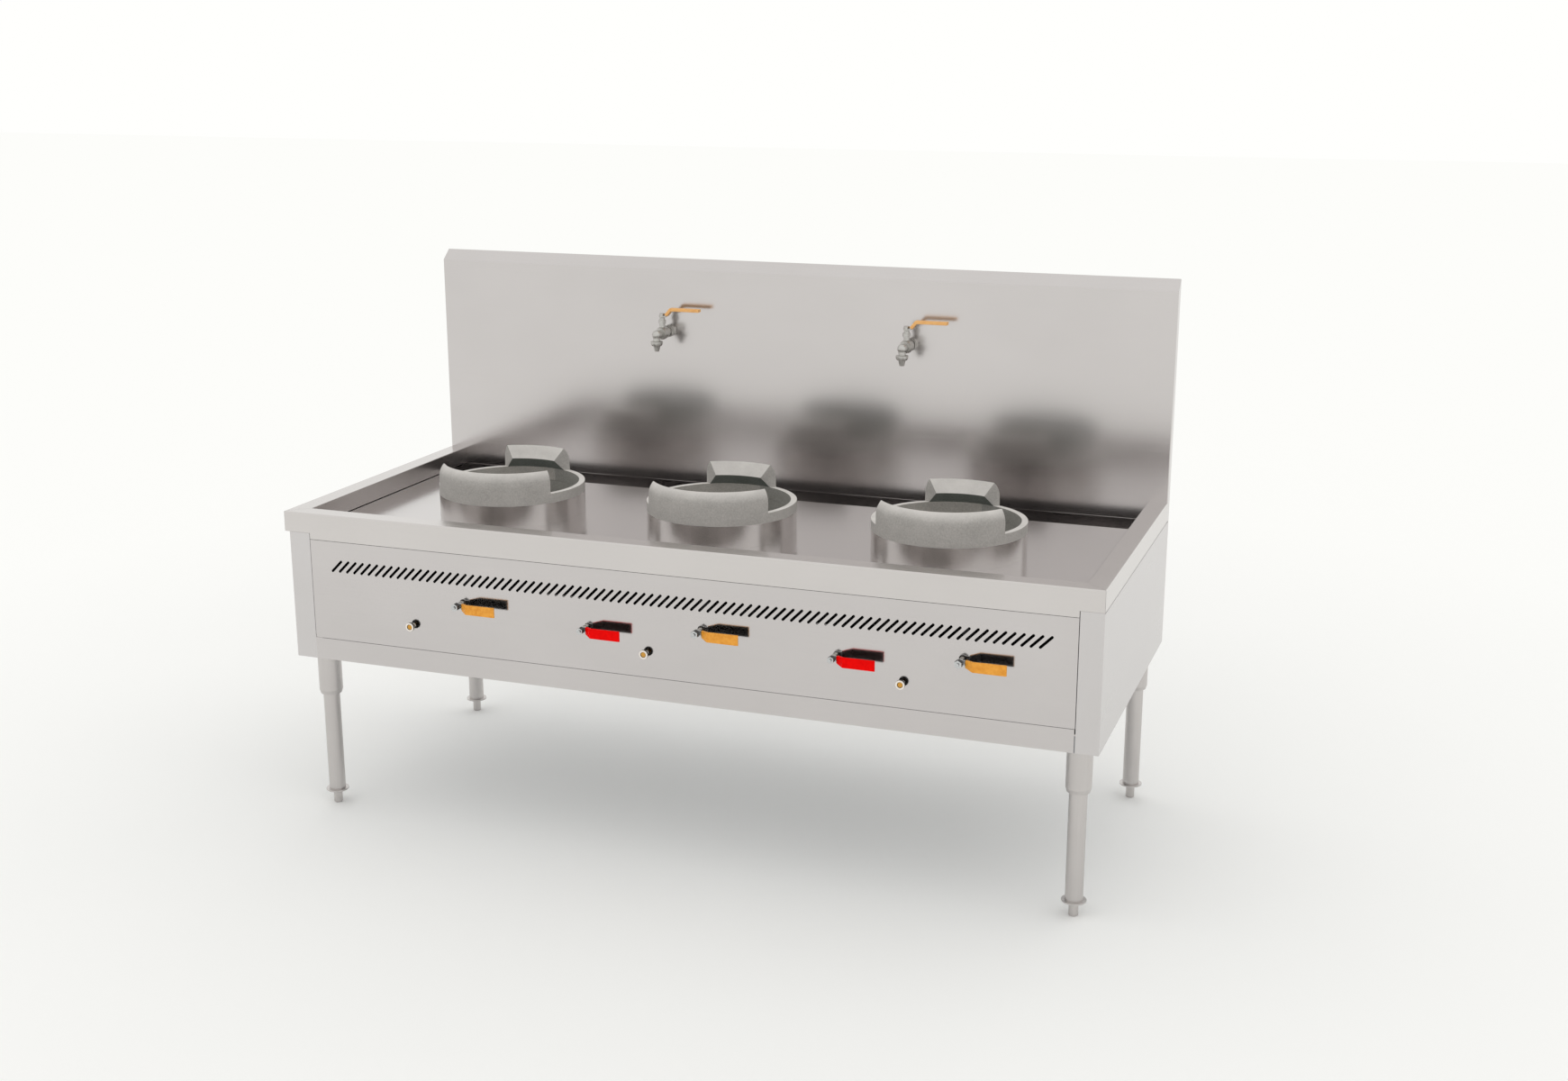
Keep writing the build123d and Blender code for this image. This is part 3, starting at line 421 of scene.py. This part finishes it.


# %% [markdown]
# The wok rings. A face is fired if its normal points level at the ring's own axis, or down past it.
# On the wall, left of a fixed line to the right of the axis, a paler iron is painted light; the
# right end of the wall keeps a darker iron, painted shade.

# %% Wok rings
FACES_AXIS = 0.7        # a normal's part towards the axis, from which a face is fired
LEVEL = 0.05            # the most that such a normal may point up
WALL_TOP = 0.836        # height of the ring's wall, with guard and seat above it
PAINTED_SHADE_FROM = 0.04         # from here on to the right of the axis the wall keeps the painted shade
for number in (1, 2, 3):
    name = f"wok_ring_{number}"
    ring = rounded(name, f"{name}_casting", name,
                   [cast_outside, cast_inside, wall_shade_iron, wall_light_iron], radius_mm=2.0)
    low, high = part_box(name)
    axis_x = (low[0] + high[0]) / 2
    axis_y = (low[1] + high[1]) / 2

    def fired(centre, normal):
        away = (centre.x - axis_x, centre.y - axis_y)
        inward = -(normal.x * away[0] + normal.y * away[1]) / math.hypot(*away)
        return inward > FACES_AXIS and normal.z < LEVEL

    def wall(centre, normal):
        return fired(centre, normal) and centre.z < WALL_TOP

    # Painted light: the wall faces left of the fixed line take the paler iron.
    def painted_light_wall(centre, normal):
        return wall(centre, normal) and centre.x < axis_x + PAINTED_SHADE_FROM

    finish_some(ring, 1, fired)
    finish_some(ring, 2, wall)
    finish_some(ring, 3, painted_light_wall)

# %% [markdown]
# The five levers on the front, each as a rounded strap and a rounded grip on its own body. A strap's
# back and the flanks of its nut get a darker zinc, and each grip's back a near-black vinyl: both are
# painted shade.

# %% Gas and water levers
STRAP_EDGE, GRIP_EDGE = 0.35, 0.8   # radius of a punched edge and of a dipped one, in mm
NUT_WIDTH = 20 * MM
NUT_BACK = -0.4597                  # the face of the strap that the nut sits on
kinds = (("gas", 3, "orange_grip", orange_vinyl, vinyl_back_painted_shade),
         ("water", 2, "red_grip", red_vinyl, red_vinyl_back_painted_shade))
for kind, count, grip_slot, vinyl, back in kinds:
    for number in range(1, count + 1):
        body = f"{kind}_lever_{number}"
        strap = rounded(body, f"{body}_strap", body,
                        [zinc, zinc_painted_shade], STRAP_EDGE, segments=2)
        nut_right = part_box(body)[0][0] + NUT_WIDTH

        # Painted shade: the strap's back and the nut's flanks take the darker zinc.
        def in_painted_shade(centre, normal):
            on_nut = centre.x < nut_right and centre.y < NUT_BACK
            return (on_nut and not_in_front(centre, normal)) or looks_back(centre, normal)

        finish_some(strap, 1, in_painted_shade)
        grip = rounded(f"{kind}_grip_{number}", f"{kind}_grip_{number}_dipped", body,
                       [vinyl, back], GRIP_EDGE)
        # Painted shade: the faces of the grip that look back at the panel take the dark vinyl.
        finish_some(grip, 1, looks_back)

# %% [markdown]
# The taps are cast and chromed, with a lever and a paler grip of their own. The pilot knobs are a
# white moulding round a brass core; their sides and back, and the core's back, are black as painted
# shade. The feet are turned.

# %% Taps, knobs and feet
KNOB_EDGE, CORE_EDGE, TAP_EDGE, FOOT_EDGE = 0.5, 0.2, 0.6, 0.5      # radii, in mm
for number in (1, 2):
    body = f"tap_lever_{number}"
    rounded(body, f"{body}_strap", body, [dull_chrome], STRAP_EDGE, segments=2)
    rounded(f"tap_grip_{number}", f"tap_grip_{number}_dipped", body,
            [amber_vinyl], GRIP_EDGE)
for number in (1, 2, 3):
    body = f"pilot_button_{number}"
    knob = rounded(f"pilot_knob_{number}", f"pilot_knob_{number}_moulded", body,
                   [white_knob, knob_back_painted_shade], KNOB_EDGE, segments=2)
    # Painted shade: the knob's sides and back, and below it the core's back, take the black.
    finish_some(knob, 1, not_in_front)
    core = rounded(f"pilot_core_{number}", f"pilot_core_{number}_turned", body,
                   [brass, knob_back_painted_shade], CORE_EDGE, segments=2)
    finish_some(core, 1, looks_back)
rounded("tap_bodies", "tap_bodies_cast", "range_body",
        [dull_chrome], TAP_EDGE, segments=2)
for corner in ("front_left", "front_right", "rear_left", "rear_right"):
    body = f"foot_{corner}"
    rounded(body, f"{body}_turned", body, [steel["tube"]], FOOT_EDGE, segments=2)
print("small parts rounded")

# %% [markdown]
# The floor is a pale, matt sheet that runs on past everything the camera sees. It carries a faint
# painted shade: a little greyer round the spot where the range stands, clean and white further
# out, so there is no horizon. The paint itself carries that fade, by the distance from the range.

# %% Floor
FLOOR_SIZE = 30.0
FADE_START, FADE_END = 1.4, 3.6     # metres from the middle of the range
SCUFF = (900, 900, 900)             # size of a scuffed patch, in mm
floor_form = bmesh.new()
bmesh.ops.create_grid(floor_form, x_segments=1, y_segments=1, size=FLOOR_SIZE)
floor_mesh = bpy.data.meshes.new("studio_floor")
floor_form.to_mesh(floor_mesh)
floor_form.free()
floor = bpy.data.objects.new("studio_floor", floor_mesh)
bpy.context.scene.collection.objects.link(floor)
floor_paint, floor_tree, floor_shader = material_with("studio_floor_paint", {
    "Roughness": 0.9, "Specular IOR Level": 0.0})
floor_place = add(floor_tree, "TexCoord")
floor_reach = add(floor_tree, "VectorMath", {"operation": "LENGTH"}, {
    0: floor_place.outputs["Object"]})
floor_fade = add(floor_tree, "MapRange", inputs={
    "Value": floor_reach.outputs["Value"], "From Min": FADE_START, "From Max": FADE_END})
# Painted shade: within FADE_START of the range's middle the floor is a little greyer, with a faint
# random tone in it.
near_painted_shade = tint(floor_tree, grain(floor_tree, SCUFF, detail=1.0), "#f7f7f6", "#f8f8f7")
floor_mix = add(floor_tree, "Mix", {"data_type": "RGBA"}, {
    0: floor_fade.outputs["Result"], 6: near_painted_shade, 7: linear("#fdfdfc")})
floor_tree.links.new(floor_mix.outputs[2], floor_shader.inputs["Base Color"])
floor_mesh.materials.append(floor_paint)
print("the floor is scuffed out to", FADE_START, "m and clean from", FADE_END, "m")

# %% [markdown]
# All the light comes from the world, like a big tent of white cloth round the range. It is even, so
# the shadow under the range is only the part of the tent that the body hides from the floor. What
# the camera sees behind the range is the same white cloth.

# %% World
world = bpy.data.worlds.new("studio_tent")
bpy.context.scene.world = world
world.use_nodes = True
tent = world.node_tree
tent.nodes.clear()
lighting = add(tent, "Background", inputs={"Color": linear("#fffffd"), "Strength": 1.0})
add(tent, "OutputWorld", inputs={"Surface": lighting.outputs[0]})
print("the tent shines at", lighting.inputs["Strength"].default_value)

# %% [markdown]
# The camera stands to the right of the middle, a little above the splashback, and looks down at the
# rim. Its place, turn and lens were solved from the straight edges of the photograph.

# %% Camera
SENSOR_WIDTH, LENS = 36.0, 43.08        # in mm
CAMERA_PLACE = (1.7301, -4.3599, 1.9557)
LOOKS_DOWN, TURNED = 14.876, 19.998     # degrees below level, and to the left of straight back
camera_data = bpy.data.cameras.new("camera")
camera_data.sensor_width = SENSOR_WIDTH
camera_data.lens = LENS
camera = bpy.data.objects.new("camera", camera_data)
bpy.context.scene.collection.objects.link(camera)
camera.location = CAMERA_PLACE
camera.rotation_euler = (math.radians(90 - LOOKS_DOWN), 0, math.radians(TURNED))
bpy.context.scene.camera = camera
bpy.context.scene.view_settings.view_transform = "Standard"
print("the camera stands at", CAMERA_PLACE, "with a lens of", LENS, "mm")
